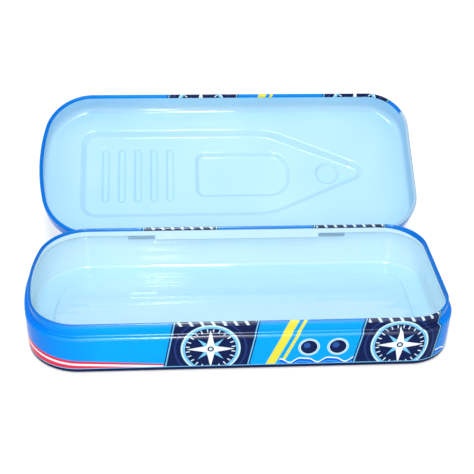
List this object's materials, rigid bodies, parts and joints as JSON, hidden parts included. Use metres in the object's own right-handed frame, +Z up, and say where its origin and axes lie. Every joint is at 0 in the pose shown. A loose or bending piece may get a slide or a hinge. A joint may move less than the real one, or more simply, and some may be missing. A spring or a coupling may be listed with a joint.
{
  "type": "pencil box",
  "caption": "Hinged tinplate pencil box standing open: a deep tray with a stepped neck, and a shallow lid with an embossed top.",
  "frame": {"origin": "middle of the underside of the tray, on the surface that it stands on", "axes": "+X along the box towards its squarer end, -Y is the front, +Z up; the lid opens backwards, over +Y"},
  "size_m": [0.205, 0.1608, 0.0694],
  "materials": {
    "printed_tray": "gloss print outside, pale lacquer inside",
    "printed_lid": "gloss print outside, pale lacquer inside",
    "wire": "bright drawn wire",
    "bare_tinplate": "bare tinplate"
  },
  "bodies": {
    "tray": {"tray": "printed_tray", "hinge_strap_left": "bare_tinplate", "hinge_strap_right": "bare_tinplate"},
    "lid": {"lid": "printed_lid", "hinge_pin_left": "wire", "hinge_pin_right": "wire"}
  },
  "joints": [
    {"name": "lid_hinge", "type": "hinge", "parent": "tray", "child": "lid", "pos_m": [0, 0.04225, 0.0215], "axis": [1, 0, 0], "range_deg": [0, 146]}
  ]
}
